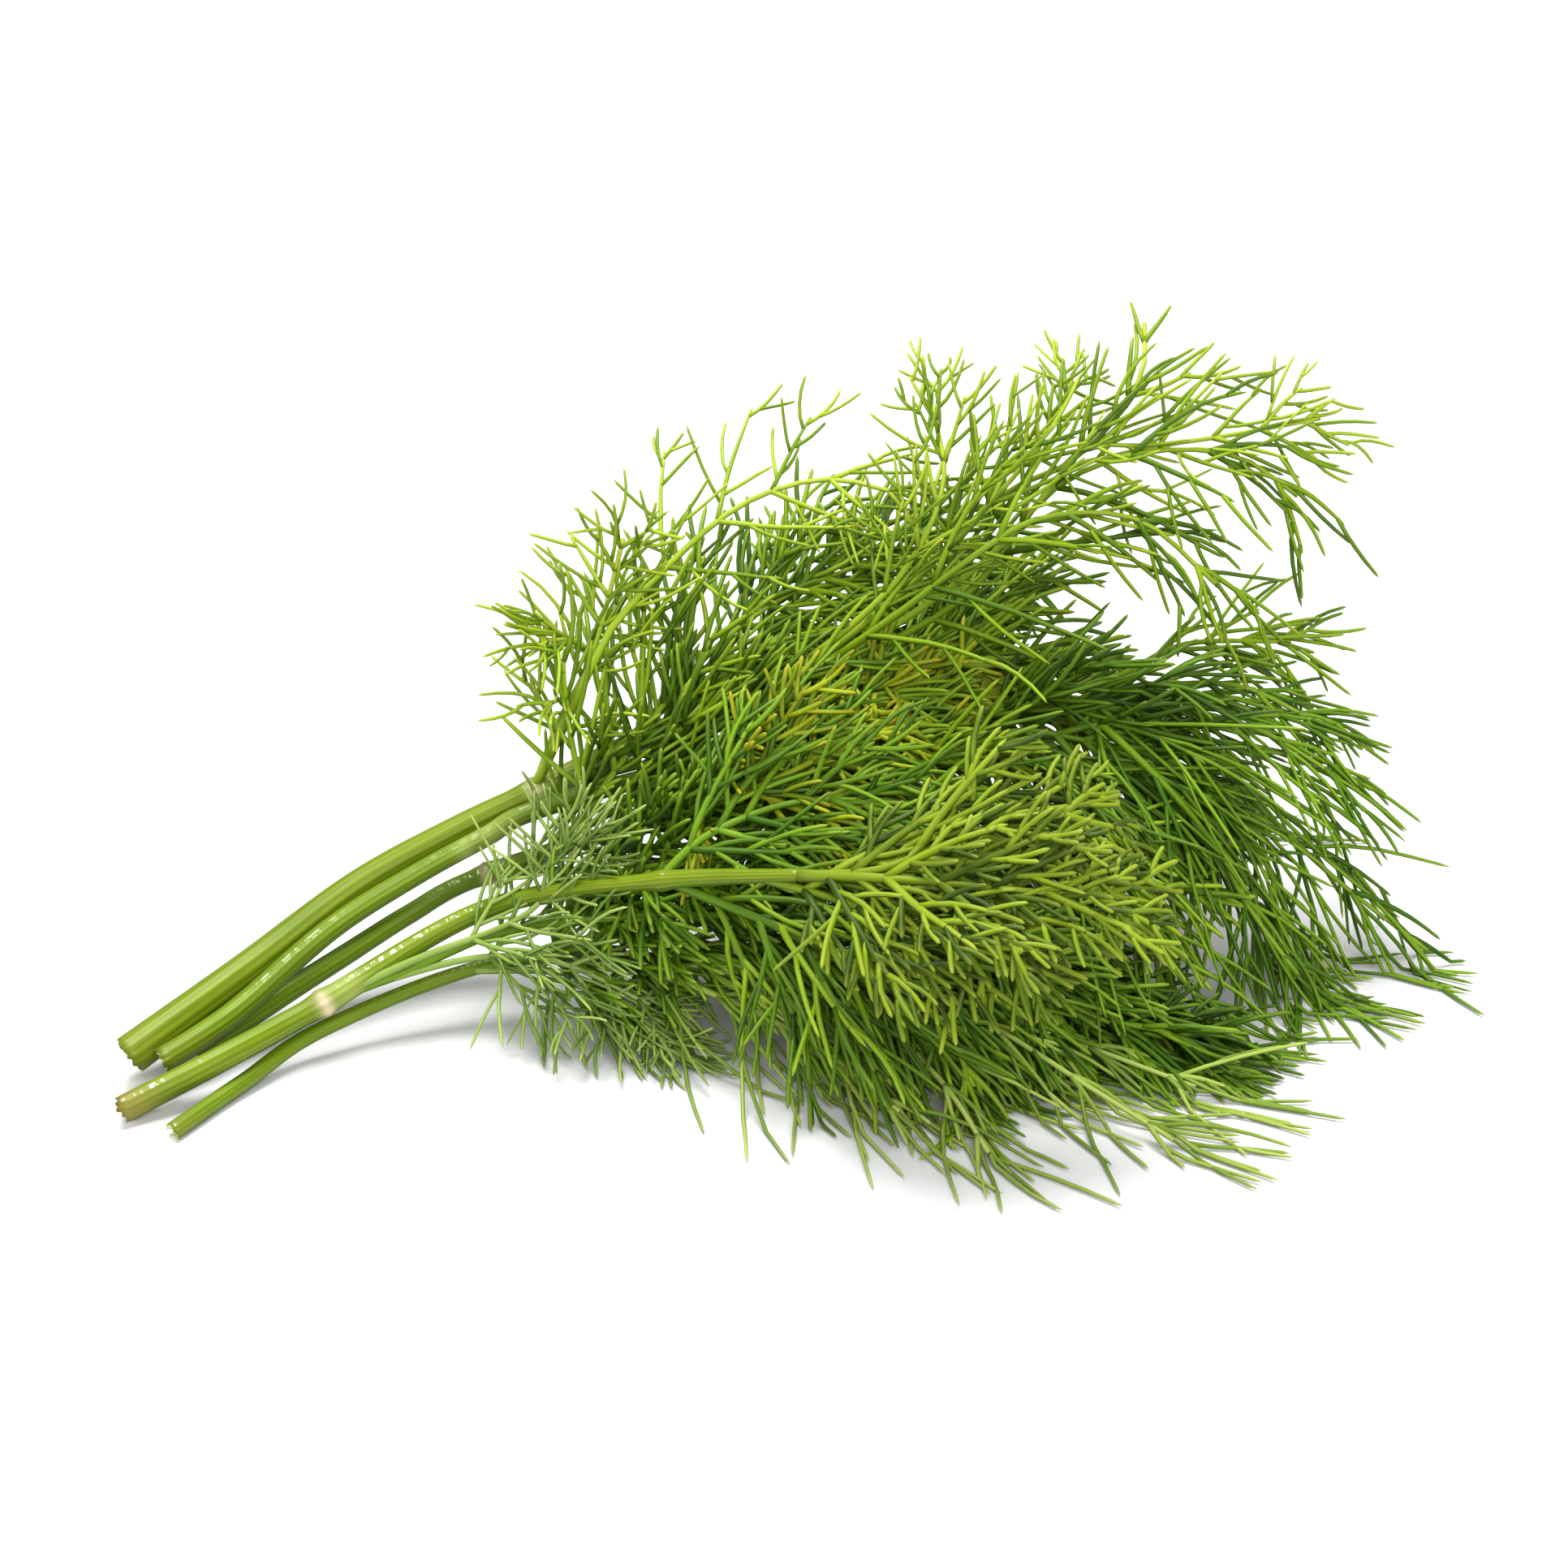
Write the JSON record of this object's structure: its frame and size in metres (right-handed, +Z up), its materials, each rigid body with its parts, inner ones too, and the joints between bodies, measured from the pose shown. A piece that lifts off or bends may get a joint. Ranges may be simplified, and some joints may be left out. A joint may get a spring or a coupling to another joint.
{
  "type": "dill bunch",
  "caption": "Loose bunch of fresh dill lying on a table: leafy stems cut at one end, feathery fronds fanned out at the other.",
  "frame": {"origin": "on the table, under the middle of the bunch's outline", "axes": "+X from the cut ends towards the tips, +Y away from the viewer, +Z up from the table"},
  "size_m": [0.2501, 0.1536, 0.1097],
  "materials": {
    "leaf_light_green": "fresh green stem and light green needles, slightly waxy",
    "leaf_deep_green": "deep green needles and stem, slightly waxy",
    "leaf_mid_green": "mid green needles and wet, ribbed stem",
    "leaf_yellow_green": "yellow-green needles and stem, slightly waxy",
    "leaf_soft_green": "soft green fine needles and thin stem"
  },
  "bodies": {
    "root": {"leafy_stem_upper": "leaf_light_green", "leafy_stem_twin": "leaf_deep_green", "leafy_stem_middle": "leaf_mid_green", "leafy_stem_front": "leaf_yellow_green", "leafy_stem_low": "leaf_soft_green"}
  },
  "joints": []
}
